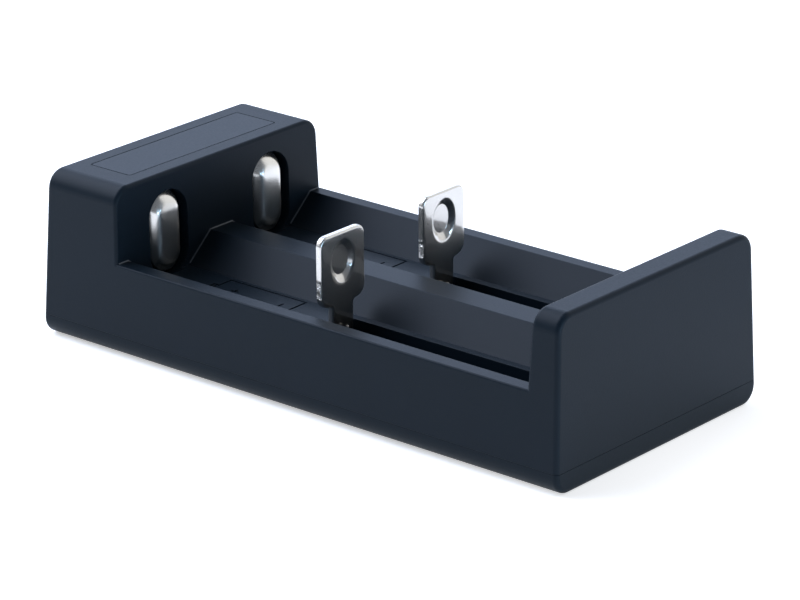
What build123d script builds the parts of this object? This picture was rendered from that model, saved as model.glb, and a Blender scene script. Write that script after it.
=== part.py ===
from build123d import *
from math import radians, tan
import os

# Two-bay charger for loose cylindrical lithium-ion cells.
# X runs from the head, which holds the fixed contacts, to the foot wall. Y runs across. Z is up.
# The origin is the middle of the underside. Lengths are in millimetres and angles in degrees.

# Outside of the case
length = 106.0
width = 50.0
height = 28.0
rim_height = 15.6
head_length = 16.7
foot_thickness = 4.9
parting_height = 3.7
corner_round = 3.0
end_round = 0.8
mouth_round = 0.6
rim_round = 0.35
side_draft = 2.3
rear_draft = 2.8
head_draft = 1.1
foot_draft = 1.4
foot_inner_draft = 2.6

# Walls of the mouldings
side_wall = 2.0
tray_wall = 1.8
roof_wall = 2.0
cover_floor = 1.8
least_round = 0.4
lip_height = 1.1
lip_thickness = 0.9
lip_clearance = 0.15
parting_chamfer = 0.12

# Bays
rim_width = 2.6
divider_width = 5.2
bay_floor_width = 8.4
floor_height = 11.0

# Polarity marks sunk in the bay floors: the outline of a cell, with a plus and a minus
mark_line = 0.35
mark_depth = 0.25
mark_length = 16.4
mark_width = 7.1
mark_from_slot = 9.0
nub_length = 1.0
nub_width = 1.4
sign_size = 1.5
plus_inset = 4.0
minus_inset = 2.6

# Fixed positive contacts and their openings in the head
sheet = 0.5
bend_ratio = 0.9
pad_width = 6.9
pad_floor_gap = 0.25
pad_roof_gap = 1.35
pad_depth = 1.7
pad_crown = 0.3
pad_edge_round = 0.7
pad_bevel_height = 3.2
pad_bevel_depth = 0.9
opening_gap = 1.0
opening_drop = 0.3
opening_pocket = 1.0
pad_leg_width = 3.6
pad_leg_reach = 2.2
backing_width = 4.8
backing_thickness = 1.5
backing_gap = 0.15

# Sliding negative contacts
plate_thickness = 1.0
plate_width = 10.3
plate_top = 26.3
plate_shoulder = 14.95
plate_corner = 1.6
shoulder_round = 1.9
neck_width = 4.9
neck_top = 14.45
neck_round = 0.5
neck_root = 5.2
dimple_width = 6.1
dimple_height = 7.8
dimple_middle = 21.55
dimple_depth = 1.3
dimple_floor_share = 0.62
dimple_wall = 0.75
shortest_cell = 34.5
foot_room = 6.9

# Slots and carriages under the floor
slot_gap = 0.35
slot_end_gap = 0.6
slot_corner = 0.5
carriage_width = 8.4
carriage_front = 4.2
carriage_rear = 7.5
carriage_round = 0.5
slide_clearance = 0.2
pocket_clearance = 0.05
carriage_low = 4.6
guide_thickness = 1.2
guide_low = 5.0
guide_run = 1.0
rail_thickness = 1.2
rail_spread = 4.8

# Springs and their terminals
wire = 0.5
wire_sides = 8
coil_radius = 1.25
coil_middle = 6.8
coil_bore_gap = 0.2
hook_hole_radius = 0.6
hook_reach = 0.7
hook_tip = 11.0
hook_bend = 0.5
hook_groove = 1.1
coil_front_gap = 3.0
loop_turn = 320.0
terminal_from_front = 5.3
terminal_width = 3.0
terminal_foot = 2.2
terminal_hole_radius = 0.45

# Circuit board and what it carries
board_thickness = 1.2
board_low = 3.4
board_width = 34.0
board_lip_gap = 0.3
board_past_terminal = 1.5
board_slot_gap = 0.2
standoff_radius = 2.0
light_width = 3.2
light_length = 2.8
light_height = 1.9
light_cup_radius = 1.1
chip_length = 4.9
chip_width = 3.9
chip_height = 1.5
chip_side = 5.6
chip_ahead = 4.4
lead_width = 0.42
lead_pitch = 1.27
lead_sheet = 0.2
lead_reach = 1.05
capacitor_width = 1.6
capacitor_length = 3.2
capacitor_pitch = 4.2
capacitor_ahead = 13.4
resistor_width = 1.25
resistor_length = 2.0
resistor_height = 0.5
resistor_pitch = 2.8
resistor_ahead = 10.9

# Indicator window and the light guide below it
window_length = 34.8
window_width = 8.8
window_setback = 3.13
window_thickness = 1.0
window_gap = 0.15
window_corner = 0.5
window_ledge = 2.0
guide_bar_gap = 0.2
guide_bar_height = 2.0
guide_leg_radius = 1.5
guide_light_gap = 0.3

# Power inlet
socket_width = 8.94
socket_height = 3.26
socket_length = 7.3
socket_wall = 0.3
socket_setback = 0.4
socket_opening_gap = 0.33
tongue_width = 6.7
tongue_thickness = 0.7
tongue_length = 4.6
insert_depth = 2.0

# Screws
screw_radius = 1.1
screw_head_radius = 2.0
screw_head_height = 1.5
screw_length = 8.0
screw_clearance = 0.02
head_pocket_gap = 0.3
head_pocket_depth = 2.4
boss_radius = 2.6
boss_inset = 0.6
boss_top = 12.0
boss_from_end = 6.0
drive_width = 0.55
drive_span = 2.2
drive_depth = 0.8
board_screw_radius = 1.0
board_screw_head = 1.8
board_screw_head_height = 1.2
board_screw_length = 3.4
board_screw_side = 8.5
board_screw_inset = 2.6


def side_y(z):
    """Half the width of the case at a height."""
    return width / 2 - z * tan(radians(side_draft))


def rear_x(z):
    """The head's rear face at a height."""
    return -length / 2 + z * tan(radians(rear_draft))


def foot_x(z):
    """The foot wall's outer face at a height."""
    return length / 2 - z * tan(radians(foot_draft))


def front_x(z):
    """The head's front wall, which leans back as it rises."""
    return -length / 2 + head_length - (z - rim_height) * tan(radians(head_draft))


def inner_x(z):
    """The foot wall's inner face, which leans out as it rises."""
    return foot_x(height) - foot_thickness - (height - z) * tan(radians(foot_inner_draft))


# Places that follow from the sizes
rim_inside = side_y(rim_height) - rim_width
bay_half = (rim_inside - divider_width / 2) / 2
bay_y = divider_width / 2 + bay_half
bays = (-bay_y, bay_y)
hands = (-1, 1)
above = height + corner_round
floor_under = floor_height - tray_wall
pad_low = floor_height + pad_floor_gap
pad_high = height - roof_wall - pad_roof_gap
pad_height = pad_high - pad_low
pad_middle = (pad_low + pad_high) / 2
crown_x = front_x(pad_middle) + pad_crown
plate_back = crown_x + shortest_cell + dimple_depth
plate_front = plate_back + plate_thickness
plate_middle = (plate_back + plate_front) / 2
travel = inner_x(floor_height) - foot_room - plate_front
slot_width = neck_width + 2 * slot_gap
slot_start = plate_back - slot_end_gap
slot_end = plate_front + travel + slot_end_gap
mark_end = slot_start - mark_from_slot
mark_start = mark_end - mark_length
carriage_top = floor_under - slide_clearance
coil_top = coil_middle + coil_radius
carriage_end = plate_front + carriage_front
carriage_start = plate_back - carriage_rear
guide_start = carriage_start - guide_run
guide_end = carriage_end + travel + guide_run
terminal_x = -length / 2 + head_length + terminal_from_front
coil_start = terminal_x + coil_radius + wire
coil_end = plate_back - coil_front_gap
board_top = board_low + board_thickness
board_start = rear_x(board_low) + side_wall + lip_clearance + lip_thickness + board_lip_gap
board_end = terminal_x + board_past_terminal
leg_x = crown_x - pad_depth - pad_leg_reach
window_x = front_x(height) - window_setback - window_width / 2
socket_middle = board_top + socket_height / 2
socket_front = rear_x(socket_middle) + socket_setback
boss_y = side_y(parting_height) - side_wall - boss_radius + boss_inset
boss_places = [
    (x, y)
    for x in (rear_x(0) + boss_from_end, foot_x(0) - boss_from_end - boss_radius)
    for y in (-boss_y, boss_y)
]
capacitor_x = board_end - capacitor_ahead
resistor_x = board_end - resistor_ahead
board_screw_x = board_start + board_screw_inset
board_screw_places = [(board_screw_x, -board_screw_side), (board_screw_x, board_screw_side)]
rest_places = [(board_end - standoff_radius, 0)]


def tray_outline():
    """Corners of the space above the tray, seen along X: two troughs below an open top."""
    foot = bay_floor_width / 2
    half = [
        (divider_width / 2, rim_height),
        (bay_y - foot, floor_height),
        (bay_y + foot, floor_height),
        (rim_inside, rim_height),
        (width, rim_height),
        (width, above + height),
    ]
    return half + [(-y, z) for y, z in reversed(half)]


def open_space(grow):
    """The space above the tray, between the head and the foot, grown by a wall's thickness."""
    with BuildPart() as space:
        with BuildSketch(Plane.YZ):
            with BuildLine():
                Polyline(*tray_outline(), close=True)
            make_face()
            if grow:
                offset(amount=grow, kind=Kind.INTERSECTION)
        extrude(amount=length, both=True)
        with BuildSketch(Plane.XZ):
            with BuildLine():
                Polyline(
                    (front_x(0), 0),
                    (inner_x(0), 0),
                    (inner_x(2 * height), 2 * height),
                    (front_x(2 * height), 2 * height),
                    close=True,
                )
            make_face()
            if grow:
                offset(amount=grow, kind=Kind.INTERSECTION)
        extrude(amount=width, both=True, mode=Mode.INTERSECT)
    return space.part


def solid_case():
    """The case as one solid, with the bays cut and the outer edges rounded."""
    with BuildPart() as case:
        with BuildSketch(Plane.YZ):
            with BuildLine():
                Polyline(
                    (-side_y(0), 0),
                    (side_y(0), 0),
                    (side_y(height), height),
                    (-side_y(height), height),
                    close=True,
                )
            make_face()
            fillet(vertices(), corner_round)
        extrude(amount=length, both=True)
        with BuildSketch(Plane.XZ):
            with BuildLine():
                Polyline(
                    (rear_x(0), 0),
                    (foot_x(0), 0),
                    (foot_x(height), height),
                    (rear_x(height), height),
                    close=True,
                )
            make_face()
        extrude(amount=width, both=True, mode=Mode.INTERSECT)
        ends = case.faces().sort_by(Axis.X)
        fillet(ends[0].edges() + ends[-1].edges(), end_round)
        add(open_space(0), mode=Mode.SUBTRACT)
        walls = case.faces().filter_by(lambda f: abs(f.normal_at().X) > 0.9)
        walls = walls.filter_by(lambda f: abs(f.center().X) < length / 2 - 1)
        mouths = walls.edges().filter_by(lambda e: e.center().Z > rim_height + mouth_round)
        fillet(mouths, mouth_round)
        rims = case.edges().filter_by(Axis.X).filter_by(lambda e: abs(e.center().Z - rim_height) < 0.01)
        fillet(rims, rim_round)
    return case.part


def hollow():
    """The space inside the case, below the roof and the tray."""
    inside_round = max(corner_round - side_wall, least_round)
    with BuildPart() as space:
        with BuildSketch(Plane.YZ):
            with BuildLine():
                Polyline(
                    (-side_y(cover_floor) + side_wall, cover_floor),
                    (side_y(cover_floor) - side_wall, cover_floor),
                    (side_y(height - roof_wall) - side_wall, height - roof_wall),
                    (-side_y(height - roof_wall) + side_wall, height - roof_wall),
                    close=True,
                )
            make_face()
            fillet(vertices(), inside_round)
        extrude(amount=length, both=True)
        with BuildSketch(Plane.XZ):
            with BuildLine():
                Polyline(
                    (rear_x(0) + side_wall, 0),
                    (foot_x(0) - side_wall, 0),
                    (foot_x(height) - side_wall, height),
                    (rear_x(height) + side_wall, height),
                    close=True,
                )
            make_face()
        extrude(amount=width, both=True, mode=Mode.INTERSECT)
        add(open_space(tray_wall), mode=Mode.SUBTRACT)
    return space.part


case_solid = solid_case()
case_hollow = hollow()

os.makedirs("parts", exist_ok=True)

# Upper shell: head, tray, divider and foot wall in one moulding
opening_width = pad_width + 2 * opening_gap
opening_height = pad_height + opening_gap + opening_drop
opening_middle = pad_middle - (opening_gap - opening_drop) / 2
opening_back = front_x(height) - 2 * tray_wall
backing_front = crown_x - pad_depth - backing_gap
backing_low = pad_low + 3 * sheet
guide_side = carriage_width / 2 + slide_clearance + guide_thickness / 2
run_middle = (guide_start + guide_end) / 2
bar_length = window_length - 2 * window_ledge
bar_width = window_width - 2 * window_ledge
with BuildPart() as upper_shell:
    add(case_solid)
    split(bisect_by=Plane.XY.offset(parting_height), keep=Keep.TOP)
    add(case_hollow, mode=Mode.SUBTRACT)
    # Guides for the carriages, down from the floor
    with BuildSketch(Plane.XY.offset(guide_low)):
        with Locations(*[(run_middle, y + hand * guide_side) for y in bays for hand in hands]):
            Rectangle(guide_end - guide_start, guide_thickness)
    extrude(amount=floor_height - guide_low)
    # Screw bosses
    with BuildSketch(Plane.XY.offset(parting_height)):
        with Locations(*boss_places):
            Circle(boss_radius)
    extrude(amount=boss_top - parting_height)
    add(open_space(0), mode=Mode.SUBTRACT)
    # Openings for the fixed contacts, with a pocket in the floor before each
    with BuildSketch(Plane.YZ.offset(opening_back)):
        with Locations(*[(y, opening_middle) for y in bays]):
            SlotOverall(opening_height, opening_width, rotation=90)
    extrude(amount=front_x(pad_middle) + opening_pocket - opening_back, mode=Mode.SUBTRACT)
    # Ribs that take the push of the cells on the fixed contacts
    with BuildSketch(Plane.XY.offset(backing_low)):
        with Locations(*[(backing_front - backing_thickness / 2, y) for y in bays]):
            Rectangle(backing_thickness, backing_width)
    extrude(amount=height - roof_wall / 2 - backing_low)
    # Slots for the sliding contacts
    with BuildSketch(Plane.XY.offset(floor_height)):
        with Locations(*[((slot_start + slot_end) / 2, y) for y in bays]):
            RectangleRounded(slot_end - slot_start, slot_width, slot_corner)
    extrude(amount=-tray_wall - 1, mode=Mode.SUBTRACT)
    # Polarity marks
    with BuildSketch(Plane.XY.offset(floor_height)):
        with Locations(*[((mark_start + mark_end) / 2, y) for y in bays]):
            Rectangle(mark_length, mark_width)
            Rectangle(mark_length - 2 * mark_line, mark_width - 2 * mark_line, mode=Mode.SUBTRACT)
        with Locations(*[(mark_start - nub_length / 2, y) for y in bays]):
            Rectangle(nub_length, nub_width)
            Rectangle(nub_length - 2 * mark_line, nub_width - 2 * mark_line, mode=Mode.SUBTRACT)
        with Locations(*[(mark_start + plus_inset, y) for y in bays]):
            Rectangle(sign_size, mark_line)
            Rectangle(mark_line, sign_size)
        with Locations(*[(mark_end - minus_inset, y) for y in bays]):
            Rectangle(mark_line, sign_size)
    extrude(amount=-mark_depth, mode=Mode.SUBTRACT)
    # Recess for the window, and the light's way through the roof
    with BuildSketch(Plane.XY.offset(height)):
        with Locations((window_x, 0)):
            RectangleRounded(window_width, window_length, window_corner)
    extrude(amount=-window_thickness, mode=Mode.SUBTRACT)
    with BuildSketch(Plane.XY.offset(height)):
        with Locations((window_x, 0)):
            Rectangle(bar_width, bar_length)
    extrude(amount=-roof_wall - 1, mode=Mode.SUBTRACT)
    # Mouth for the power inlet
    with BuildSketch(Plane.YZ.offset(rear_x(0) - 1)):
        with Locations((0, socket_middle)):
            SlotOverall(socket_width + 2 * socket_opening_gap, socket_height + 2 * socket_opening_gap)
    extrude(amount=side_wall + 2, mode=Mode.SUBTRACT)
    # Screw holes
    with BuildSketch(Plane.XY.offset(parting_height)):
        with Locations(*boss_places):
            Circle(screw_radius + screw_clearance)
    extrude(amount=screw_length - parting_height + head_pocket_depth, mode=Mode.SUBTRACT)
upper_shell.part.label = "upper_shell"
export_step(upper_shell.part, "parts/upper_shell.step")

# Bottom cover: tray with a lip inside the shell, rails, standoffs and screw seats
board_middle = (board_start + board_end) / 2


def lip_frame(outer_gap):
    """A rectangular frame at the parting, from a gap inside the case's walls to the lip's inner face."""
    inner_gap = lip_clearance + lip_thickness
    start = rear_x(parting_height) + side_wall
    end = foot_x(parting_height) - side_wall
    half = side_y(parting_height) - side_wall
    with BuildSketch(Plane.XY.offset(parting_height)) as frame:
        with Locations(((start + end) / 2, 0)):
            Rectangle(end - start - 2 * outer_gap, 2 * (half - outer_gap))
            Rectangle(end - start - 2 * inner_gap, 2 * (half - inner_gap), mode=Mode.SUBTRACT)
    return frame.sketch


with BuildPart() as bottom_cover:
    add(case_solid)
    split(bisect_by=Plane.XY.offset(parting_height), keep=Keep.BOTTOM)
    add(case_hollow, mode=Mode.SUBTRACT)
    outline = bottom_cover.faces().sort_by(Axis.Z)[-1].outer_wire()
    chamfer(outline.edges(), parting_chamfer)
    # Lip: a step fused to the wall, then the part that stands up inside the shell
    extrude(to_extrude=lip_frame(-lip_thickness), amount=cover_floor - parting_height)
    extrude(to_extrude=lip_frame(lip_clearance), amount=lip_height)
    with BuildSketch(Plane.XY.offset(parting_height)):
        with Locations(*boss_places):
            Circle(boss_radius + lip_clearance)
    extrude(amount=2 * lip_height, mode=Mode.SUBTRACT)
    with BuildSketch(Plane.YZ.offset(rear_x(0))):
        with Locations((0, socket_middle)):
            SlotOverall(socket_width + 2 * socket_opening_gap, socket_height + 2 * socket_opening_gap)
    extrude(amount=side_wall + lip_thickness + 2 * lip_clearance + 1, mode=Mode.SUBTRACT)
    # Rails under the carriages
    with BuildSketch(Plane.XY.offset(cover_floor)):
        with Locations(*[(run_middle, y + hand * rail_spread / 2) for y in bays for hand in hands]):
            Rectangle(guide_end - guide_start, rail_thickness)
    extrude(amount=carriage_low - slide_clearance - cover_floor)
    # Standoffs for the board
    with BuildSketch(Plane.XY.offset(cover_floor)):
        with Locations(*board_screw_places, *rest_places):
            Circle(standoff_radius)
    extrude(amount=board_low - cover_floor)
    with BuildSketch(Plane.XY.offset(board_low)):
        with Locations(*board_screw_places):
            Circle(board_screw_radius + screw_clearance)
    extrude(amount=board_thickness - board_screw_length - screw_clearance, mode=Mode.SUBTRACT)
    # Screw seats and the pockets for the screw heads
    with BuildSketch(Plane.XY.offset(cover_floor)):
        with Locations(*boss_places):
            Circle(boss_radius)
    extrude(amount=parting_height - cover_floor)
    with BuildSketch():
        with Locations(*boss_places):
            Circle(screw_head_radius + head_pocket_gap)
    extrude(amount=head_pocket_depth, mode=Mode.SUBTRACT)
    with BuildSketch():
        with Locations(*boss_places):
            Circle(screw_radius + screw_clearance)
    extrude(amount=parting_height + 1, mode=Mode.SUBTRACT)
bottom_cover.part.label = "bottom_cover"
export_step(bottom_cover.part, "parts/bottom_cover.step")

# Indicator window, flush in the head's top
with BuildPart() as indicator_window:
    with BuildSketch(Plane.XY.offset(height)):
        with Locations((window_x, 0)):
            RectangleRounded(
                window_width - 2 * window_gap, window_length - 2 * window_gap, window_corner - window_gap
            )
    extrude(amount=-window_thickness)
indicator_window.part.label = "indicator_window"
export_step(indicator_window.part, "parts/indicator_window.step")

# Light guide: a bar under the window and a leg down to each light
bar_top = height - window_thickness
leg_foot = board_top + light_height + guide_light_gap
with BuildPart() as light_guide:
    with BuildSketch(Plane.XY.offset(bar_top)):
        with Locations((window_x, 0)):
            Rectangle(bar_width - 2 * guide_bar_gap, bar_length - 2 * guide_bar_gap)
    extrude(amount=-guide_bar_height)
    with BuildSketch(Plane.XY.offset(bar_top - guide_bar_height)):
        with Locations(*[(window_x, y) for y in bays]):
            Circle(guide_leg_radius)
    extrude(amount=leg_foot - bar_top + guide_bar_height)
light_guide.part.label = "light_guide"
export_step(light_guide.part, "parts/light_guide.step")

# Circuit board
with BuildPart() as circuit_board:
    with BuildSketch(Plane.XY.offset(board_low)):
        with Locations((board_middle, 0)):
            Rectangle(board_end - board_start, board_width)
        with Locations(*[(leg_x, y) for y in bays]):
            Rectangle(sheet + 2 * board_slot_gap, pad_leg_width + 2 * board_slot_gap, mode=Mode.SUBTRACT)
        with Locations(*board_screw_places):
            Circle(board_screw_radius + screw_clearance, mode=Mode.SUBTRACT)
    extrude(amount=board_thickness)
circuit_board.part.label = "circuit_board"
export_step(circuit_board.part, "parts/circuit_board.step")


def bent_strip(points, y, strip_width, thickness):
    """Sheet bent along a line of points in a plane across Y, given as (x, z)."""
    with BuildPart() as strip:
        with BuildSketch(Plane.XZ.offset(-y)):
            with BuildLine():
                FilletPolyline(*points, radius=thickness * bend_ratio)
            trace(line_width=thickness)
        extrude(amount=strip_width / 2, both=True)
    return strip.part


def pressed_pad(y, inset, edge_round):
    """The pad as a solid with a sloped top, or the hollow behind it where it is inset by the sheet."""
    back = crown_x - pad_depth
    front = crown_x - inset
    pad_top = pad_high - inset
    with BuildPart() as block:
        with BuildSketch(Plane.YZ.offset(back)):
            with Locations((y, pad_middle)):
                SlotOverall(pad_height - 2 * inset, pad_width - 2 * inset, rotation=90)
        extrude(amount=front - back)
        with BuildSketch(Plane.XZ.offset(-y)):
            with BuildLine():
                Polyline(
                    (front, pad_top - pad_bevel_height),
                    (front, pad_top),
                    (front - pad_bevel_depth, pad_top),
                    close=True,
                )
            make_face()
        extrude(amount=pad_width, both=True, mode=Mode.SUBTRACT)
        if edge_round:
            raised = block.edges().filter_by(lambda e: e.bounding_box().min.X > back + least_round)
            fillet(raised, edge_round)
    return block.part


def fixed_contact(y):
    """Positive contact: a pressed pad in the opening, and a leg bent back and down through the board."""
    level = pad_low + sheet
    leg_line = [(crown_x - pad_depth + sheet, level), (leg_x, level), (leg_x, board_low - sheet)]
    with BuildPart() as contact:
        add(pressed_pad(y, 0, pad_edge_round))
        add(bent_strip(leg_line, y, pad_leg_width, sheet))
        add(pressed_pad(y, sheet, 0), mode=Mode.SUBTRACT)
    return contact.part


def spring_terminal(y):
    """Soldered lug that holds the fixed end of a spring."""
    lug_top = coil_middle + coil_radius - 2 * wire
    with BuildPart() as terminal:
        level = board_top + sheet / 2
        line = [(terminal_x - terminal_foot, level), (terminal_x, level), (terminal_x, lug_top)]
        add(bent_strip(line, y, terminal_width, sheet))
        with BuildSketch(Plane.YZ.offset(terminal_x)):
            with Locations((y, coil_middle - coil_radius)):
                Circle(terminal_hole_radius)
        extrude(amount=sheet, both=True, mode=Mode.SUBTRACT)
    return terminal.part


def spring(y):
    """Extension spring, close wound at rest: coil, loop at its fixed end and upturned hook at the other."""
    hook_x = plate_front + hook_reach
    with BuildPart() as coil:
        with BuildSketch(Plane.YZ.offset(coil_start)):
            with Locations((y, coil_middle)):
                Circle(coil_radius + wire / 2)
                Circle(coil_radius - wire / 2, mode=Mode.SUBTRACT)
        extrude(amount=coil_end - coil_start)
        # Hook: straight through the contact's hole, then up
        with BuildSketch(Plane.YZ.offset(coil_end)):
            with Locations((y, coil_top)):
                RegularPolygon(wire / 2, wire_sides, rotation=180 / wire_sides)
        extrude(amount=hook_x - hook_bend - coil_end)
        bend_axis = Axis((hook_x - hook_bend, y, coil_top + hook_bend), (0, -1, 0))
        revolve(coil.faces().sort_by(Axis.X)[-1], axis=bend_axis, revolution_arc=90)
        with BuildSketch(Plane.XY.offset(coil_top + hook_bend)):
            with Locations((hook_x, y)):
                RegularPolygon(wire / 2, wire_sides, rotation=180 / wire_sides)
        extrude(amount=hook_tip - coil_top - hook_bend)
        # Loop, and the wire from its top to the coil
        with BuildSketch(Plane.YZ.offset(terminal_x)):
            with Locations((y, coil_top)):
                RegularPolygon(wire / 2, wire_sides, rotation=180 / wire_sides)
        revolve(axis=Axis((terminal_x, y, coil_middle), (0, -1, 0)), revolution_arc=loop_turn)
        with BuildSketch(Plane.YZ.offset(terminal_x)):
            with Locations((y, coil_top)):
                RegularPolygon(wire / 2, wire_sides, rotation=180 / wire_sides)
        extrude(amount=coil_start - terminal_x)
    return coil.part


def sliding_contact(y):
    """Negative contact: a stamped plate with a pressed dimple, and a neck down through the slot."""
    half = plate_width / 2
    neck = neck_width / 2
    floor_half_width = dimple_width / 2 * dimple_floor_share
    floor_half_height = dimple_height / 2 * dimple_floor_share
    with BuildPart() as plate:
        with BuildSketch(Plane.YZ.offset(plate_back)) as outline:
            with BuildLine():
                Polyline(
                    (y - neck, neck_root),
                    (y - neck, neck_top),
                    (y - half, plate_shoulder),
                    (y - half, plate_top),
                    (y + half, plate_top),
                    (y + half, plate_shoulder),
                    (y + neck, neck_top),
                    (y + neck, neck_root),
                    close=True,
                )
            make_face()
            fillet(outline.vertices().group_by(Axis.Y)[-1], plate_corner)
            fillet(outline.vertices().group_by(Axis.Y)[2], shoulder_round)
            fillet(outline.vertices().group_by(Axis.Y)[1], neck_round)
        extrude(amount=plate_thickness)
        # Dimple: a boss on the head's side and a hollow on the foot's side
        with BuildSketch(Plane.YZ.offset(plate_back)):
            with Locations((y, dimple_middle)):
                Ellipse(dimple_width / 2, dimple_height / 2)
        with BuildSketch(Plane.YZ.offset(plate_back - dimple_depth)):
            with Locations((y, dimple_middle)):
                Ellipse(floor_half_width + dimple_wall / 2, floor_half_height + dimple_wall / 2)
        loft()
        with BuildSketch(Plane.YZ.offset(plate_front)):
            with Locations((y, dimple_middle)):
                Ellipse(dimple_width / 2, dimple_height / 2)
        with BuildSketch(Plane.YZ.offset(plate_front - dimple_depth)):
            with Locations((y, dimple_middle)):
                Ellipse(floor_half_width, floor_half_height)
        loft(mode=Mode.SUBTRACT)
        with BuildSketch(Plane.YZ.offset(plate_back)):
            with Locations((y, coil_top)):
                Circle(hook_hole_radius)
        extrude(amount=plate_thickness, mode=Mode.SUBTRACT)
    return plate.part


def carriage(y):
    """Moulded block that slides under the floor, with a pocket for the plate and a bore for the spring."""
    bore = coil_radius + wire / 2 + coil_bore_gap
    with BuildPart() as block:
        with BuildSketch(Plane.XY.offset(carriage_low)):
            with Locations(((carriage_start + carriage_end) / 2, y)):
                RectangleRounded(carriage_end - carriage_start, carriage_width, carriage_round)
        extrude(amount=carriage_top - carriage_low)
        with BuildSketch(Plane.XY.offset(carriage_top)):
            with Locations((plate_middle, y)):
                Rectangle(plate_thickness + 2 * pocket_clearance, neck_width + 2 * pocket_clearance)
        extrude(amount=neck_root - pocket_clearance - carriage_top, mode=Mode.SUBTRACT)
        with BuildSketch(Plane.YZ.offset(carriage_start)):
            with Locations((y, coil_middle)):
                Circle(bore)
        extrude(amount=coil_end + coil_bore_gap - carriage_start, mode=Mode.SUBTRACT)
        groove_start = coil_end - 2 * wire
        groove_end = plate_front + hook_reach + wire
        with BuildSketch(Plane.XY.offset(carriage_top)):
            with Locations(((groove_start + groove_end) / 2, y)):
                Rectangle(groove_end - groove_start, hook_groove)
        extrude(amount=coil_middle + coil_radius - wire - carriage_top, mode=Mode.SUBTRACT)
    return block.part


def gull_lead(x, y, hand):
    """One lead of a chip: out of the side, down and out along the board."""
    high = board_top + chip_height / 2
    low = board_top + lead_sheet / 2
    knee = x + hand * lead_reach / 2
    with BuildPart() as lead:
        with BuildSketch(Plane.XZ.offset(-y)):
            with BuildLine():
                Polyline((x, high), (knee, high), (knee, low), (x + hand * lead_reach, low))
            trace(line_width=lead_sheet)
        extrude(amount=lead_width / 2, both=True)
    return lead.part


def charge_chip(y):
    """Charge control chip in a small outline package with four leads a side."""
    x = board_end - chip_ahead - chip_width / 2
    with BuildPart() as chip:
        with BuildSketch(Plane.XY.offset(board_top + lead_sheet / 2)):
            with Locations((x, y)):
                Rectangle(chip_width, chip_length)
        extrude(amount=chip_height)
        with GridLocations(0, lead_pitch, 1, 4) as lead_row:
            lead_places = [y + place.position.Y for place in lead_row.locations]
        for hand in hands:
            for lead_y in lead_places:
                add(gull_lead(x + hand * chip_width / 2, lead_y, hand))
    return chip.part


def indicator_light(y):
    """Surface-mounted light below a leg of the light guide."""
    with BuildPart() as light:
        with BuildSketch(Plane.XY.offset(board_top)):
            with Locations((window_x, y)):
                Rectangle(light_length, light_width)
        extrude(amount=light_height)
        with BuildSketch(Plane.XY.offset(board_top + light_height)):
            with Locations((window_x, y)):
                Circle(light_cup_radius)
        extrude(amount=-lead_sheet, mode=Mode.SUBTRACT)
    return light.part


def screw(place, bearing, way, head, radius, reach):
    """Pan-head screw with a cross drive. Its head bears on a level, and its shank goes up where way is 1."""
    head_radius, head_height = head
    with BuildPart() as made:
        with BuildSketch(Plane.XY.offset(bearing)):
            with Locations(place):
                Circle(head_radius)
        extrude(amount=-way * head_height)
        chamfer(made.edges().sort_by(Axis.Z)[0 if way > 0 else -1], head_height / 3)
        with BuildSketch(Plane.XY.offset(bearing)):
            with Locations(place):
                Circle(radius)
        extrude(amount=way * reach)
        with BuildSketch(Plane.XY.offset(bearing - way * head_height)):
            with Locations(place):
                Rectangle(drive_span, drive_width)
                Rectangle(drive_width, drive_span)
        extrude(amount=way * drive_depth, mode=Mode.SUBTRACT)
    return made.part


def row_of_blocks(x, pitch, size_x, size_y, size_z):
    """Four small parts in a row across the board."""
    with BuildPart() as blocks:
        with BuildSketch(Plane.XY.offset(board_top)):
            with Locations((x, 0)):
                with GridLocations(0, pitch, 1, 4):
                    Rectangle(size_x, size_y)
        extrude(amount=size_z)
    return blocks.part


for side, y in zip(("near", "far"), bays):
    made = {
        "positive_contact": fixed_contact(y),
        "spring_terminal": spring_terminal(y),
        "spring": spring(y),
        "sliding_contact": sliding_contact(y),
        "carriage": carriage(y),
        "charge_chip": charge_chip(y * chip_side / bay_y),
        "indicator_light": indicator_light(y),
    }
    for name, part in made.items():
        part.label = f"{side}_{name}"
        export_step(part, f"parts/{side}_{name}.step")

# Small parts on the board
capacitors = row_of_blocks(capacitor_x, capacitor_pitch, capacitor_width, capacitor_length, capacitor_width)
capacitors.label = "ceramic_capacitors"
export_step(capacitors, "parts/ceramic_capacitors.step")
resistors = row_of_blocks(resistor_x, resistor_pitch, resistor_width, resistor_length, resistor_height)
resistors.label = "chip_resistors"
export_step(resistors, "parts/chip_resistors.step")

# Power inlet: drawn shell and the insulating insert with its tongue
with BuildPart() as inlet_shell:
    with BuildSketch(Plane.YZ.offset(socket_front)):
        with Locations((0, socket_middle)):
            SlotOverall(socket_width, socket_height)
            SlotOverall(socket_width - 2 * socket_wall, socket_height - 2 * socket_wall, mode=Mode.SUBTRACT)
    extrude(amount=socket_length)
inlet_shell.part.label = "inlet_shell"
export_step(inlet_shell.part, "parts/inlet_shell.step")

with BuildPart() as inlet_insert:
    with BuildSketch(Plane.YZ.offset(socket_front + socket_length)):
        with Locations((0, socket_middle)):
            SlotOverall(socket_width - 2 * socket_wall, socket_height - 2 * socket_wall)
    extrude(amount=-insert_depth)
    with BuildSketch(Plane.YZ.offset(socket_front + socket_length - insert_depth)):
        with Locations((0, socket_middle)):
            Rectangle(tongue_width, tongue_thickness)
    extrude(amount=-tongue_length)
    fillet(inlet_insert.faces().sort_by(Axis.X)[0].edges().filter_by(Axis.Z), tongue_thickness)
inlet_insert.part.label = "inlet_insert"
export_step(inlet_insert.part, "parts/inlet_insert.step")

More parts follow.
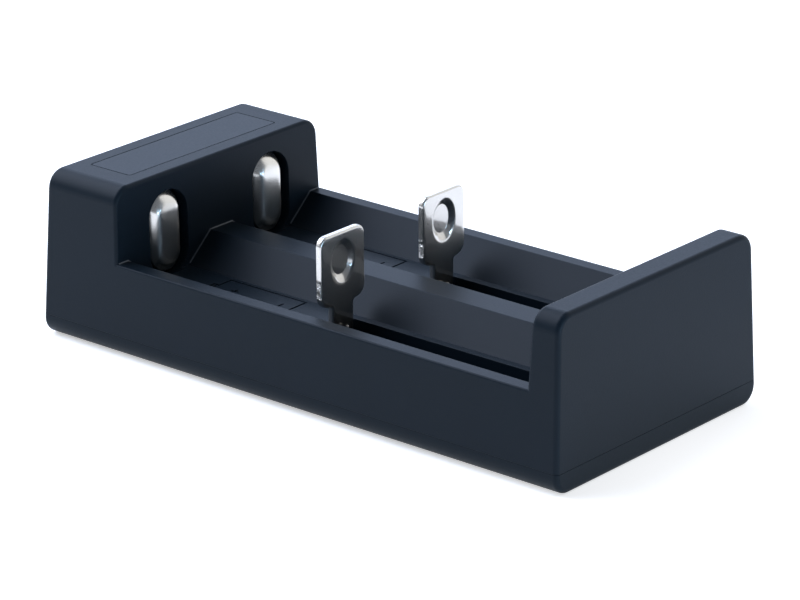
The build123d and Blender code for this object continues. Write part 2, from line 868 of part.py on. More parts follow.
# Screws: four through the cover into the shell's bosses, two through the board into the cover
with BuildPart() as cover_screws:
    for place in boss_places:
        head = (screw_head_radius, screw_head_height)
        add(screw(place, head_pocket_depth, 1, head, screw_radius, screw_length))
cover_screws.part.label = "cover_screws"
export_step(cover_screws.part, "parts/cover_screws.step")

with BuildPart() as board_screws:
    for place in board_screw_places:
        head = (board_screw_head, board_screw_head_height)
        add(screw(place, board_top, -1, head, board_screw_radius, board_screw_length))
board_screws.part.label = "board_screws"
export_step(board_screws.part, "parts/board_screws.step")
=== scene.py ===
"""Surfaces, pressed contacts, coil springs and studio for a two-bay charger for loose lithium-ion cells."""

import logging
import math
from collections.abc import Sequence
from dataclasses import dataclass
from enum import Enum

import bmesh
import bpy
from bpy.types import Material, Node, NodeSocket, NodeTree, Object
from mathutils import Matrix, Vector


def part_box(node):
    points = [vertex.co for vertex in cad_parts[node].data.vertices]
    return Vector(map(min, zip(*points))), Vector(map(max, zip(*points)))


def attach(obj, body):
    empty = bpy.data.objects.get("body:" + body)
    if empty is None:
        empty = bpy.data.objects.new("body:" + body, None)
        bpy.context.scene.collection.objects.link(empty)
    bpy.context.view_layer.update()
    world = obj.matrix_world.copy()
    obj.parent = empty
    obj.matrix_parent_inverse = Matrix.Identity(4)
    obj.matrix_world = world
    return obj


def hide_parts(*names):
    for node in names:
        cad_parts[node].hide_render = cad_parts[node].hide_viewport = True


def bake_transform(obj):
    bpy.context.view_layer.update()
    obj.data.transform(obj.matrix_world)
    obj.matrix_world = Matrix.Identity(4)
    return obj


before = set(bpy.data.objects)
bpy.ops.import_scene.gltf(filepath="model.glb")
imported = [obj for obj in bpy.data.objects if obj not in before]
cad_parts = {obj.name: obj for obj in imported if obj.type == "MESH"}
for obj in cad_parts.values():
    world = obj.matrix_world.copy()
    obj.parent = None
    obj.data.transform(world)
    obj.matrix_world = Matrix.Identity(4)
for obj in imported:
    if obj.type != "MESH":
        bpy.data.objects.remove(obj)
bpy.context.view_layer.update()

MM = 0.001
CORNER_STEPS = 8
log = logging.getLogger("charger")

Inputs = dict[str | int, object]


class Side(Enum):
    """The two bays: the near one is on the camera's side."""

    NEAR = "near"
    FAR = "far"

    def node(self, piece: str) -> str:
        """Gives the name of this bay's CAD node."""
        return f"{self.value}_{piece}"

    @property
    def slider(self) -> str:
        """Gives the body that moves along this bay."""
        return f"{self.value}_slider"


class Slot(Enum):
    """The record's material slots, one named for each kind of new piece."""

    CASE = "case_plastic"
    NICKEL = "contact_nickel"
    SPRING = "spring_steel"


def linear(colour: str) -> tuple[float, float, float, float]:
    """Turns an sRGB hex colour to linear red, green, blue and alpha.

    Args:
        colour: six hex digits after a hash.

    Returns:
        The four linear values.
    """
    parts = [int(colour[i : i + 2], 16) / 255 for i in (1, 3, 5)]
    red, green, blue = [p / 12.92 if p <= 0.04045 else ((p + 0.055) / 1.055) ** 2.4 for p in parts]
    return red, green, blue, 1.0


def feed(node: Node, given: Inputs) -> None:
    """Gives a node its settings and links.

    Args:
        node: the node.
        given: for each input, by name or number, a value, a socket, or a node whose first output feeds it.
            Any other name is one of the node's properties.
    """
    for key, value in given.items():
        source = value.outputs[0] if isinstance(value, Node) else value
        if isinstance(source, NodeSocket):
            node.id_data.links.new(source, node.inputs[key])
        elif isinstance(key, int) or key in node.inputs:
            node.inputs[key].default_value = source
        else:
            setattr(node, key, source)


def add_node(tree: NodeTree, kind: str, given: Inputs) -> Node:
    """Adds one node with its settings and links.

    Args:
        tree: the material's nodes.
        kind: the name of the node's type, less its ShaderNode.
        given: its settings and links, as for feed.

    Returns:
        The new node.
    """
    node = tree.nodes.new(f"ShaderNode{kind}")
    feed(node, given)
    return node


@dataclass(frozen=True)
class Finish:
    """A real surface: its material and how it was made."""

    name: str
    colour: str
    roughness: float

    def material(self) -> Material:
        """Makes the material once, and gives it back after that.

        Returns:
            The material.
        """
        made = bpy.data.materials.get(self.name)
        if made is None:
            made = bpy.data.materials.new(self.name)
            made.use_nodes = True
            shader = made.node_tree.nodes["Principled BSDF"]
            feed(shader, {"Base Color": linear(self.colour), "Roughness": self.roughness})
            feed(shader, self.dress(made.node_tree))
        return made

    def dress(self, tree: NodeTree) -> Inputs:
        """Adds what this kind of surface shows, and gives what the shader takes: nothing here."""
        return {}

    def give(self, *nodes: str) -> None:
        """Puts this finish on CAD nodes.

        Args:
            nodes: the nodes' names.
        """
        for name in nodes:
            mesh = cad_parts[name].data
            mesh.materials.clear()
            mesh.materials.append(self.material())
            log.info("%s: %s", name, self.name)


@dataclass(frozen=True)
class MouldedPlastic(Finish):
    """Injection-moulded plastic: a fine spark-eroded grain and slow changes in shade."""

    second_colour: str = "#000000"
    specular: float = 0.5
    ior: float = 1.5
    grain: float = 0.3 * MM
    grain_depth: float = 0.01 * MM
    cloud: float = 9 * MM
    roughness_swing: float = 0.06
    soft_corner: float = 0.0
    corner_samples: int = 6

    def dress(self, tree: NodeTree) -> Inputs:
        """Adds the clouding, the grain and the change in gloss that comes with it.

        Args:
            tree: the material's nodes.

        Returns:
            What the shader takes.
        """
        place = add_node(tree, "TexCoord", {}).outputs["Object"]
        clouds = add_node(tree, "TexNoise", {"Scale": 1 / self.cloud, "Detail": 3.0, "Vector": place})
        tones = {6: linear(self.colour), 7: linear(self.second_colour)}
        shade = add_node(tree, "Mix", {"data_type": "RGBA", 0: clouds, **tones})
        pits = add_node(tree, "TexNoise", {"Scale": 1 / self.grain, "Detail": 2.0, "Vector": place})
        least, most = self.roughness - self.roughness_swing, self.roughness + self.roughness_swing
        gloss = add_node(tree, "MapRange", {"Value": pits, "To Min": least, "To Max": most})
        bump = add_node(tree, "Bump", {"Distance": self.grain_depth, "Height": pits})
        if self.soft_corner:
            eased = {"samples": self.corner_samples, "Radius": self.soft_corner}
            feed(bump, {"Normal": add_node(tree, "Bevel", eased)})
        sheen = {"Specular IOR Level": self.specular, "IOR": self.ior, "Roughness": gloss}
        return {"Base Color": shade.outputs[2], "Normal": bump, **sheen}


@dataclass(frozen=True)
class OpalTable(MouldedPlastic):
    """Opal acrylic lit from below, evenly, with a painted pool of brighter glow beyond the foot wall that
    washes out the case's shadow there.
    """

    glow: float = 0.54
    painted_pool_glow: float = 0.33
    painted_pool_x: float = 85 * MM
    painted_pool_y: float = 5 * MM
    painted_pool_radius: float = 80 * MM

    def dress(self, tree: NodeTree) -> Inputs:
        """Adds the plastic's clouding and the painted pool of light.

        Args:
            tree: the material's nodes.

        Returns:
            What the shader takes.
        """
        place = add_node(tree, "TexCoord", {}).outputs["Object"]
        pool = (self.painted_pool_x, self.painted_pool_y, 0.0)
        away = add_node(tree, "VectorMath", {"operation": "DISTANCE", 0: place, 1: pool}).outputs["Value"]
        # Painted pool of light: the glow is strongest at the pool's middle and fades to the even glow at its
        # radius.
        light = {"From Max": self.painted_pool_radius, "To Min": self.glow + self.painted_pool_glow, "To Max": self.glow}
        fade = add_node(tree, "MapRange", {"interpolation_type": "SMOOTHSTEP", "Value": away, **light})
        lit = {"Emission Color": linear(self.colour), "Emission Strength": fade}
        return super().dress(tree) | lit


@dataclass(frozen=True)
class PlatedMetal(Finish):
    """Metal with a thin bright plating over the lines left by rolling or drawing."""

    line_width: float = 0.12 * MM
    line_length: float = 4 * MM
    line_depth: float = 0.0006 * MM
    haze_grain: float = 0.012 * MM
    haze: float = 0.3
    haze_from: float = 0.45
    haze_to: float = 0.65
    sheared: bool = False
    shear_grain: float = 0.45 * MM
    shear_depth: float = 0.9 * MM
    shear_middle_z: float = 17.9 * MM
    shear_half: float = 1.6 * MM
    edge_facing: float = 0.75

    def dress(self, tree: NodeTree) -> Inputs:
        """Adds the fine lines along Z, the plating's haze and, on a stamping, its torn cut edges.

        Args:
            tree: the material's nodes.

        Returns:
            What the shader takes.
        """
        place = add_node(tree, "TexCoord", {}).outputs["Object"]
        across, along = 1 / self.line_width, 1 / self.line_length
        stretched = add_node(tree, "Mapping", {"Scale": (across, across, along), "Vector": place})
        lines = add_node(tree, "TexNoise", {"Scale": 1.0, "Detail": 1.0, "Vector": stretched})
        specks = add_node(tree, "TexNoise", {"Scale": 1 / self.haze_grain, "Detail": 0.0, "Vector": place})
        range_in = {"From Min": self.haze_from, "From Max": self.haze_to}
        range_out = {"To Min": self.roughness, "To Max": self.roughness + self.haze}
        gloss = add_node(tree, "MapRange", {"Value": specks, **range_in, **range_out})
        bump = add_node(tree, "Bump", {"Distance": self.line_depth, "Height": lines})
        if self.sheared:
            torn = self.torn_height(tree, place)
            bump = add_node(tree, "Bump", {"Distance": self.shear_depth, "Height": torn, "Normal": bump})
        return {"Metallic": 1.0, "Roughness": gloss, "Normal": bump}

    def torn_height(self, tree: NodeTree, place: NodeSocket) -> Node:
        """Adds the relief of the torn band: only on faces turned away from X, and only near one height.

        Args:
            tree: the material's nodes.
            place: the place on the object.

        Returns:
            The node that gives the relief's height.
        """
        normal = add_node(tree, "NewGeometry", {}).outputs["Normal"]
        along = add_node(tree, "SeparateXYZ", {"Vector": normal}).outputs["X"]
        turned = add_node(tree, "Math", {"operation": "ABSOLUTE", 0: along})
        edge = add_node(tree, "Math", {"operation": "LESS_THAN", 0: turned, 1: self.edge_facing})
        torn = add_node(tree, "TexNoise", {"Scale": 1 / self.shear_grain, "Detail": 2.0, "Vector": place})
        level = add_node(tree, "SeparateXYZ", {"Vector": place}).outputs["Z"]
        limits = {1: self.shear_middle_z, 2: self.shear_half}
        band = add_node(tree, "Math", {"operation": "COMPARE", 0: level, **limits})
        share = add_node(tree, "Math", {"operation": "MULTIPLY", 0: band, 1: edge})
        return add_node(tree, "Math", {"operation": "MULTIPLY", 0: torn, 1: share})


@dataclass(frozen=True)
class ClearPlastic(Finish):
    """Clear moulded plastic, with the faint flow lines of its moulding."""

    ior: float = 1.49
    flow: float = 3 * MM
    flow_depth: float = 0.02 * MM

    def dress(self, tree: NodeTree) -> Inputs:
        """Makes it clear and adds the flow lines.

        Args:
            tree: the material's nodes.

        Returns:
            What the shader takes.
        """
        place = add_node(tree, "TexCoord", {}).outputs["Object"]
        waves = add_node(tree, "TexNoise", {"Scale": 1 / self.flow, "Vector": place})
        bump = add_node(tree, "Bump", {"Distance": self.flow_depth, "Height": waves})
        return {"Transmission Weight": 1.0, "IOR": self.ior, "Normal": bump}


@dataclass(frozen=True)
class GlassLaminate(Finish):
    """Woven glass and epoxy board under green solder resist."""

    thread: float = 0.5 * MM
    weave_depth: float = 0.01 * MM
    shaded_colour: str = "#0c3a22"

    def dress(self, tree: NodeTree) -> Inputs:
        """Adds the cloth's weave as shade and relief.

        Args:
            tree: the material's nodes.

        Returns:
            What the shader takes.
        """
        place = add_node(tree, "TexCoord", {}).outputs["Object"]
        # The bands of a wave lie pi / (10 * Scale) apart.
        spread = {"Scale": math.pi / (10 * self.thread), "Vector": place}
        warp, weft = (add_node(tree, "TexWave", {"bands_direction": way, **spread}) for way in ("X", "Y"))
        both = {0: warp.outputs["Fac"], 1: weft.outputs["Fac"]}
        weave = add_node(tree, "Math", {"operation": "MULTIPLY", **both})
        tones = {6: linear(self.colour), 7: linear(self.shaded_colour)}
        shade = add_node(tree, "Mix", {"data_type": "RGBA", 0: weave, **tones})
        bump = add_node(tree, "Bump", {"Distance": self.weave_depth, "Height": weave})
        return {"Base Color": shade.outputs[2], "Normal": bump}


@dataclass(frozen=True)
class TippedPart(Finish):
    """A small board part whose ends or leads are tinned: body beside its middle, tin past that."""

    tin_colour: str = "#c9c7c2"
    axis: str = "Y"
    middle: float = 0.0
    pitch: float = 1.0
    body_half: float = 1 * MM
    grain: float = 0.15 * MM
    grain_depth: float = 0.01 * MM
    relief: float = 0.5

    def dress(self, tree: NodeTree) -> Inputs:
        """Tells the tin from the body by how far a point is from its part's middle.

        Args:
            tree: the material's nodes.

        Returns:
            What the shader takes.
        """
        place = add_node(tree, "TexCoord", {}).outputs["Object"]
        along = add_node(tree, "SeparateXYZ", {"Vector": place}).outputs[self.axis]
        shifted = add_node(tree, "Math", {"operation": "SUBTRACT", 0: along, 1: self.middle})
        limits = {1: self.pitch / 2, 2: -self.pitch / 2}
        wrapped = add_node(tree, "Math", {"operation": "WRAP", 0: shifted, **limits})
        away = add_node(tree, "Math", {"operation": "ABSOLUTE", 0: wrapped})
        tinned = add_node(tree, "Math", {"operation": "GREATER_THAN", 0: away, 1: self.body_half})
        tones = {6: linear(self.colour), 7: linear(self.tin_colour)}
        shade = add_node(tree, "Mix", {"data_type": "RGBA", 0: tinned, **tones})
        grain = add_node(tree, "TexNoise", {"Scale": 1 / self.grain, "Vector": place})
        worn = {"Strength": self.relief, "Distance": self.grain_depth, "Height": grain}
        return {"Base Color": shade.outputs[2], "Metallic": tinned, "Normal": add_node(tree, "Bump", worn)}


@dataclass(frozen=True)
class LightPackage(Finish):
    """White moulded light package with a round cup of yellow phosphor."""

    cup_colour: str = "#d9b53a"
    cup_x: float = 0.0
    cup_y: float = 0.0
    cup_radius: float = 1.1 * MM
    grain: float = 0.1 * MM
    grain_depth: float = 0.01 * MM
    relief: float = 0.3

    def dress(self, tree: NodeTree) -> Inputs:
        """Colours the cup, and gives the package a fine grain.

        Args:
            tree: the material's nodes.

        Returns:
            What the shader takes.
        """
        place = add_node(tree, "TexCoord", {}).outputs["Object"]
        split = add_node(tree, "SeparateXYZ", {"Vector": place})
        either = add_node(tree, "Math", {"operation": "ABSOLUTE", 0: split.outputs["Y"]})
        flat = add_node(tree, "CombineXYZ", {"X": split.outputs["X"], "Y": either})
        cup = (self.cup_x, abs(self.cup_y), 0.0)
        away = add_node(tree, "VectorMath", {"operation": "DISTANCE", 0: flat, 1: cup}).outputs["Value"]
        inside = add_node(tree, "Math", {"operation": "LESS_THAN", 0: away, 1: self.cup_radius})
        tones = {6: linear(self.colour), 7: linear(self.cup_colour)}
        shade = add_node(tree, "Mix", {"data_type": "RGBA", 0: inside, **tones})
        grain = add_node(tree, "TexNoise", {"Scale": 1 / self.grain, "Vector": place})
        rough = {"Strength": self.relief, "Distance": self.grain_depth, "Height": grain}
        return {"Base Color": shade.outputs[2], "Normal": add_node(tree, "Bump", rough)}


# ABS moulded in a spark-eroded mould: an even matte slate that lightens only where seen at a grazing angle.
# The real grain is about 0.05 mm, too fine to show, so it is drawn at 0.3 mm.
# Mould corners are eased by about 0.1 mm, which gives the thin lit lines where two walls meet.
CASE_ABS = MouldedPlastic(
    "slate_abs_spark_eroded", "#0f1921", 0.42, second_colour="#101b24", specular=0.1, soft_corner=0.12 * MM
)
# The same ABS from a blasted mould: a little duller, so the cover is only just darker than the shell.
COVER_ABS = MouldedPlastic("slate_abs_blasted", "#0f1921", 0.44, second_colour="#101b23", specular=0.095)
# The same ABS, painted pale on the small fillets where the tray meets the head's wall: a painted highlight
# for the light these fillets catch, so they read as thin pale lines.
PAINTED_HIGHLIGHT_ABS = MouldedPlastic("slate_abs_painted_highlight", "#353b42", 0.35, second_colour="#3f454b", specular=0.4)
# Polycarbonate polished in the mould: the same slate, smoother, so the window reads as a calmer strip.
WINDOW_PC = MouldedPlastic(
    "smoked_polycarbonate_polished",
    "#0f1a23",
    0.36,
    second_colour="#101b25",
    specular=0.06,
    ior=1.58,
    grain_depth=0.003 * MM,
)
# Acetal: black, waxy and a little glossier than the case, as sliding parts are.
CARRIAGE_ACETAL = MouldedPlastic(
    "black_acetal_moulded", "#0b0b0c", 0.35, second_colour="#101012", specular=0.5, ior=1.48
)
# Nickel plate over stamped steel: a bright mirror, slightly hazed, with torn cut edges that sparkle.
# The torn grain is about 0.1 mm, so it is drawn at 0.45 mm to show from a step away.
STAMPED_NICKEL = PlatedMetal("nickel_plated_steel_stamped", "#d3d0cb", 0.07, haze=0.42, sheared=True)
# Nickel plate over pressed steel: softer than the flat stamping, since the press left it satin.
PRESSED_NICKEL = PlatedMetal("nickel_plated_steel_pressed", "#dedbd5", 0.2, haze=0.15)
# Drawn spring wire: bright, under fine drawing lines.
SPRING_WIRE = PlatedMetal("spring_wire_drawn", "#a9a6a1", 0.25)
# Stainless steel, deep drawn, for the inlet's shell.
DRAWN_STAINLESS = PlatedMetal("stainless_steel_drawn", "#b9b6b1", 0.28)
# Black zinc plate on the screws: a dark, slightly dull metal.
ZINC_SCREW = PlatedMetal("black_zinc_plated_steel_screw", "#46474a", 0.33)
# Tinned brass lug, dull silver with a solder haze.
TINNED_LUG = PlatedMetal("tinned_brass_stamped", "#b4b0a6", 0.35)
# Board: green solder resist over woven glass and epoxy, glossy, with the cloth showing through.
BOARD = GlassLaminate("glass_epoxy_board_green_resist", "#12502f", 0.3)
# Acrylic light guide: clear and bright.
GUIDE_ACRYLIC = ClearPlastic("clear_acrylic_moulded", "#f2f6f6", 0.05)
# Liquid-crystal polymer insert of the inlet: black and matte.
INLET_INSERT = MouldedPlastic("black_lcp_moulded", "#0d0d0e", 0.5, second_colour="#121213", grain=0.2 * MM)
# Opal acrylic lit from below, as a product photographer's table: white, with a painted pool of brighter glow
# beyond the foot wall, so that hardly a shadow shows.
OPAL_ACRYLIC = OpalTable(
    "opal_acrylic_light_table", "#f4f4f4", 0.9, second_colour="#f6f6f6", specular=0.1, grain_depth=0.0
)


def runs(path: list[Vector]) -> list[tuple[Vector, Vector]]:
    """Pairs each point of a line with the line's direction there."""
    around = zip(path, path[:1] + path[:-1], path[1:] + path[-1:])
    return [(point, (after - before).normalized()) for point, before, after in around]


class Draft:
    """A mesh in the making: rings of points joined into one skin."""

    # Points this close are welded, and a side this short shows no direction.
    weld: float = 0.001 * MM
    least_side: float = 0.1

    def __init__(self, name: str) -> None:
        """Starts an empty mesh for the piece of this name."""
        self.name = name
        self.mesh = bmesh.new()

    def skin(self, rings: Sequence[Sequence[Vector]], closed: bool = True) -> None:
        """Joins rings of points, one after the other.

        Args:
            rings: rings with the same number of points each.
            closed: whether each ring's end meets its start.
        """
        rows = [[self.mesh.verts.new(point) for point in ring] for ring in rings]
        count = len(rows[0])
        for row, after in zip(rows, rows[1:]):
            for i in range(count if closed else count - 1):
                j = (i + 1) % count
                self.mesh.faces.new((row[i], row[j], after[j], after[i]))

    def cap(self, ring: Sequence[Vector], middle: Vector) -> None:
        """Closes a ring with triangles to a point in its middle.

        Args:
            ring: the ring's points.
            middle: the point they meet at.
        """
        centre = self.mesh.verts.new(middle)
        row = [self.mesh.verts.new(point) for point in ring]
        for i, vertex in enumerate(row):
            self.mesh.faces.new((vertex, row[(i + 1) % len(row)], centre))

    def tube(self, path: list[Vector], radius: float, sides: int) -> None:
        """Runs a round wire along a path and closes its ends.

        Args:
            path: points along the wire's middle.
            radius: the wire's radius.
            sides: points in each ring.
        """
        side = Vector((0, 1, 0))
        turns = [2 * math.pi * k / sides for k in range(sides)]
        rings = []
        for point, ahead in runs(path):
            side = side - ahead * side.dot(ahead)
            if side.length < self.least_side:
                side = ahead.orthogonal()
            side.normalize()
            other = ahead.cross(side)
            rings.append([point + radius * (math.cos(t) * side + math.sin(t) * other) for t in turns])
        self.skin(rings)
        self.cap(rings[0], path[0])
        self.cap(rings[-1], path[-1])

    def piece(self, finish: Finish, slot: Slot, keep_flats: bool = True) -> Object:
        """Welds the mesh and makes the object.

        Args:
            finish: what it is made of.
            slot: the record's material slot; not used.
            keep_flats: whether flat faces keep their own direction beside rounded edges.

        Returns:
            The object, not yet riding on a body.
        """
        bmesh.ops.remove_doubles(self.mesh, verts=self.mesh.verts, dist=self.weld)
        bmesh.ops.recalc_face_normals(self.mesh, faces=self.mesh.faces)
        data = bpy.data.meshes.new(self.name)
        self.mesh.to_mesh(data)
        self.mesh.free()
        data.shade_smooth()
        data.materials.append(finish.material())
        made = bpy.data.objects.new(self.name, data)
        bpy.context.scene.collection.objects.link(made)
        if keep_flats:
            made.modifiers.new("flats", "WEIGHTED_NORMAL").keep_sharp = True
        log.info("%s: %d faces, %s", self.name, len(data.polygons), finish.name)
        return made


def rounded(points: Sequence[Vector], radii: Sequence[float]) -> list[Vector]:
    """Rounds the corners of a line of points.

    Args:
        points: the corners.
        radii: the radius at each corner: 0 where it stays sharp, and at the ends of an open line.

    Returns:
        The points of the rounded line.
    """
    line = []
    for i, (corner, radius) in enumerate(zip(points, radii)):
        if radius == 0:
            line.append(corner.copy())
            continue
        back = (points[i - 1] - corner).normalized()
        on = (points[(i + 1) % len(points)] - corner).normalized()
        half = back.angle(on) / 2
        reach = radius / math.tan(half)
        middle = corner + (back + on).normalized() * (radius / math.sin(half))
        start, end = corner + back * reach - middle, corner + on * reach - middle
        sweep = math.pi - 2 * half
        for k in range(CORNER_STEPS + 1):
            share = k / CORNER_STEPS
            bent = math.sin((1 - share) * sweep) * start + math.sin(share * sweep) * end
            line.append(middle + bent / math.sin(sweep))
    return line


def spaced(points: list[Vector], spacing: float, closed: bool = False) -> list[Vector]:
    """Divides the long runs of a line so that its points lie no further apart than a spacing.

    Args:
        points: the line's points.
        spacing: the widest gap between two points.
        closed: whether the last point joins the first.

    Returns:
        The line with the points added.
    """
    line = []
    after = points[1:] + (points[:1] if closed else [])
    for start, end in zip(points, after):
        parts = max(1, math.ceil((end - start).length / spacing))
        line += [start.lerp(end, k / parts) for k in range(parts)]
    if not closed:
        line.append(points[-1].copy())
    return line


@dataclass
class SlidingContact:
    """Sprung negative contact: a stamped plate with a pressed dimple, on a neck through the slot."""

    side: Side
    thickness: float = 1.0 * MM
    corner: float = 1.6 * MM
    shoulder_z: float = 14.95 * MM
    shoulder_round: float = 1.9 * MM
    neck_width: float = 4.9 * MM
    neck_top: float = 14.45 * MM
    neck_round: float = 0.5 * MM
    neck_seam: float = 12.0 * MM
    dimple_width: float = 6.1 * MM
    dimple_height: float = 7.8 * MM
    dimple_z: float = 21.55 * MM
    dimple_floor: float = 0.62
    dimple_wall_angle: float = 35.0
    dimple_depth: float = 0.68 * MM
    dimple_floor_round: float = 0.2 * MM
    dimple_side_round: float = 0.8 * MM
    dimple_foot_round: float = 2.2 * MM
    hole_radius: float = 0.6 * MM
    hole_z: float = 8.05 * MM
    edge_round: float = 0.32 * MM
    burr_round: float = 0.08 * MM
    edge_steps: int = 4
    spacing: float = 0.3 * MM
    face_shares: tuple[float, ...] = (0.15, 0.4, 0.7, 1.0)
    hole_shares: tuple[float, ...] = (0.0, 0.3, 1.0)
    same_height: float = 1e-9

    def __post_init__(self) -> None:
        """Takes the plate's place from its CAD node."""
        low, high = (Vector(corner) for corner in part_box(self.side.node("sliding_contact")))
        self.front = high.x
        self.back = high.x - self.thickness
        self.middle_y = (low.y + high.y) / 2
        self.half_width = (high.y - low.y) / 2
        self.root_z = low.z
        self.top_z = high.z
        self.draft = Draft(f"{self.side.value}_stamped_plate")

    def outline(self) -> list[Vector]:
        """Draws the plate's outline, up one side and down the other.

        Returns:
            Its points, as (y from the middle, z).
        """
        neck = self.neck_width / 2
        left = [
            (-neck, self.root_z, 0.0),
            (-neck, self.neck_seam, 0.0),
            (-neck, self.neck_top, self.neck_round),
            (-self.half_width, self.shoulder_z, self.shoulder_round),
            (-self.half_width, self.top_z, self.corner),
        ]
        both = left + [(-y, z, radius) for y, z, radius in reversed(left)]
        line = rounded([Vector((y, z)) for y, z, _ in both], [radius for _, _, radius in both])
        return spaced(line, self.spacing, closed=True)

    def pressed_profile(self, mouth_round: float) -> list[tuple[float, float]]:
        """Gives the dimple's section as (share of its mouth, depth), from the middle out.

        Args:
            mouth_round: the radius where its wall turns into the plate's face.

        Returns:
            The section's points.
        """
        mouth = (self.dimple_width + self.dimple_height) / 4
        floor_edge = mouth * self.dimple_floor
        wall_top = floor_edge + self.dimple_depth / math.tan(math.radians(self.dimple_wall_angle))
        corners = [
            Vector((0, 0, self.dimple_depth)),
            Vector((floor_edge, 0, self.dimple_depth)),
            Vector((wall_top, 0, 0)),
            Vector((2 * mouth, 0, 0)),
        ]
        line = rounded(corners, [0, self.dimple_floor_round, mouth_round, 0])
        return [(point.x / mouth, point.z) for point in line[:-1]]

    def lift(self, x: float, flat: Sequence[Vector]) -> list[Vector]:
        """Places points given as (y from the middle, z) at one X."""
        return [Vector((x, self.middle_y + point.x, point.y)) for point in flat]

    def edge_rings(
        self, face: float, way: int, radius: float, flat: Sequence[Vector], outward: Sequence[Vector]
    ) -> list[list[Vector]]:
        """Rounds the edge beside one face.

        Args:
            face: the face's X.
            way: 1 where the plate lies on the face's +X side, or -1.
            radius: the edge's radius.
            flat: the face's outline, inside the rounding.
            outward: the outline's normals.

        Returns:
            The edge's rings, from the face out.
        """
        rings = []
        for k in range(self.edge_steps + 1):
            turn = math.pi / 2 * k / self.edge_steps
            reach = radius * math.sin(turn)
            drop = radius * (1 - math.cos(turn))
            rings.append(self.lift(face + way * drop, [p + n * reach for p, n in zip(flat, outward)]))
        return rings

    def dimple_ring(
        self, face: float, around: Sequence[Vector], beside: tuple[float, float], below: tuple[float, float]
    ) -> list[Vector]:
        """Makes one ring of the dimple.

        Args:
            face: the face's X.
            around: the outline that the ring's points look toward.
            beside: (share of the mouth, depth) at the dimple's sides.
            below: the same at its foot, where the wall runs out longer.

        Returns:
            The ring's points.
        """
        middle = Vector((0, self.dimple_z))
        ring = []
        for point in around:
            toward = (point - middle).normalized()
            mouth = 1 / math.hypot(2 * toward.x / self.dimple_width, 2 * toward.y / self.dimple_height)
            low = max(0.0, -toward.y)
            share = beside[0] + low * (below[0] - beside[0])
            depth = beside[1] + low * (below[1] - beside[1])
            place = middle + toward * mouth * share
            ring.append(Vector((face - depth, self.middle_y + place.x, place.y)))
        return ring

    def add_face(self, face: float, flat: list[Vector], seam: Sequence[int]) -> list[Vector]:
        """Adds one face: rings round the dimple above the seam, and round the spring's hole below it.

        Args:
            face: the face's X.
            flat: the face's outline.
            seam: the outline's places at the seam's height.

        Returns:
            The edge of the spring's hole.
        """
        first, last = seam[0], seam[-1]
        across = spaced([flat[last], flat[first]], self.spacing)[1:-1]
        upper = flat[first : last + 1] + across
        lower = flat[last:] + flat[: first + 1] + list(reversed(across))
        beside = self.pressed_profile(self.dimple_side_round)
        below = self.pressed_profile(self.dimple_foot_round)
        rings = [self.dimple_ring(face, upper, *pair) for pair in zip(beside[1:], below[1:])]
        edge = [Vector((point.y - self.middle_y, point.z)) for point in rings[-1]]
        for share in self.face_shares:
            rings.append(self.lift(face, [a.lerp(b, share) for a, b in zip(edge, upper)]))
        self.draft.skin(rings)
        self.draft.cap(rings[0], Vector((face - self.dimple_depth, self.middle_y, self.dimple_z)))
        hole = Vector((0, self.hole_z))
        rim = [hole + (point - hole).normalized() * self.hole_radius for point in lower]
        rings = []
        for share in self.hole_shares:
            rings.append(self.lift(face, [a.lerp(b, share) for a, b in zip(rim, lower)]))
        self.draft.skin(rings)
        return rim

    def build(self) -> Object:
        """Builds the plate and its neck.

        Returns:
            The piece, riding on its slider.
        """
        outline = self.outline()
        outward = []
        for before, after in zip(outline[-1:] + outline[:-1], outline[1:] + outline[:1]):
            outward.append((after - before).orthogonal().normalized())
        front = [point - normal * self.edge_round for point, normal in zip(outline, outward)]
        back = [point - normal * self.burr_round for point, normal in zip(outline, outward)]
        rings = self.edge_rings(self.front, -1, self.edge_round, front, outward)
        rings += reversed(self.edge_rings(self.back, 1, self.burr_round, back, outward))
        self.draft.skin(rings)
        seam = [i for i, point in enumerate(outline) if abs(point.y - self.neck_seam) < self.same_height]
        front_rim = self.add_face(self.front, front, seam)
        back_rim = self.add_face(self.back, back, seam)
        self.draft.skin([self.lift(self.front, front_rim), self.lift(self.back, back_rim)])
        piece = self.draft.piece(STAMPED_NICKEL, Slot.NICKEL)
        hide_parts(self.side.node("sliding_contact"))
        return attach(piece, self.side.slider)


